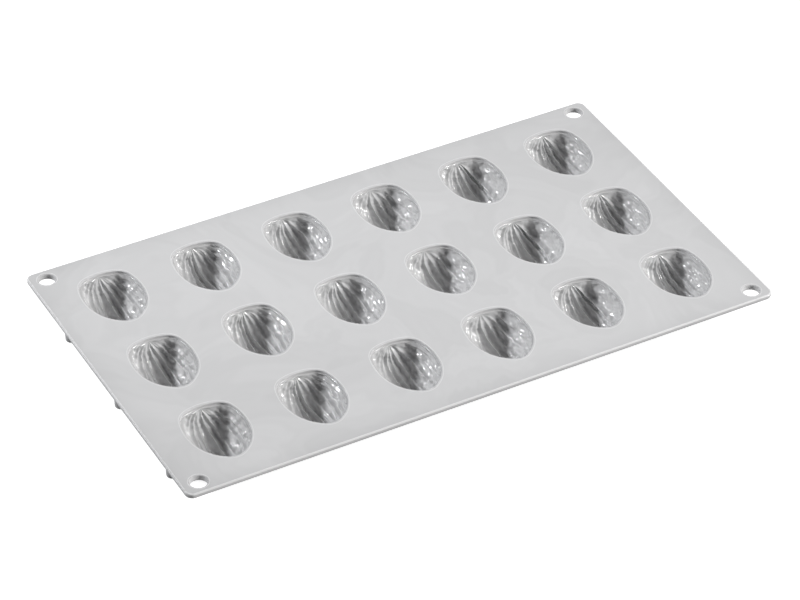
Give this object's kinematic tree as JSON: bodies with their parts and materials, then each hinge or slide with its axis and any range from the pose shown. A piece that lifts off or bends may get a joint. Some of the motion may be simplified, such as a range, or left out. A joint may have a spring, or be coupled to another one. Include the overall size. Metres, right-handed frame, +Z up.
{
  "type": "silicone baking mold",
  "caption": "Flat flexible baking mold: a rectangular sheet with rows of fluted half-walnut cups, corner holes and short support feet.",
  "frame": {"origin": "middle of the surface that the mold stands on", "axes": "+X along the long side, +Y towards the blunt ends of the walnuts, +Z up, out of the mouths"},
  "size_m": [0.3, 0.175, 0.017],
  "materials": {
    "silicone": "light grey food-grade silicone, satin on the sheet and glossy inside the cups"
  },
  "bodies": {
    "root": {"sheet": "silicone", "cups_front_row": "silicone", "cups_middle_row": "silicone", "cups_back_row": "silicone", "feet_left_end": "silicone", "feet_right_end": "silicone"}
  },
  "joints": []
}
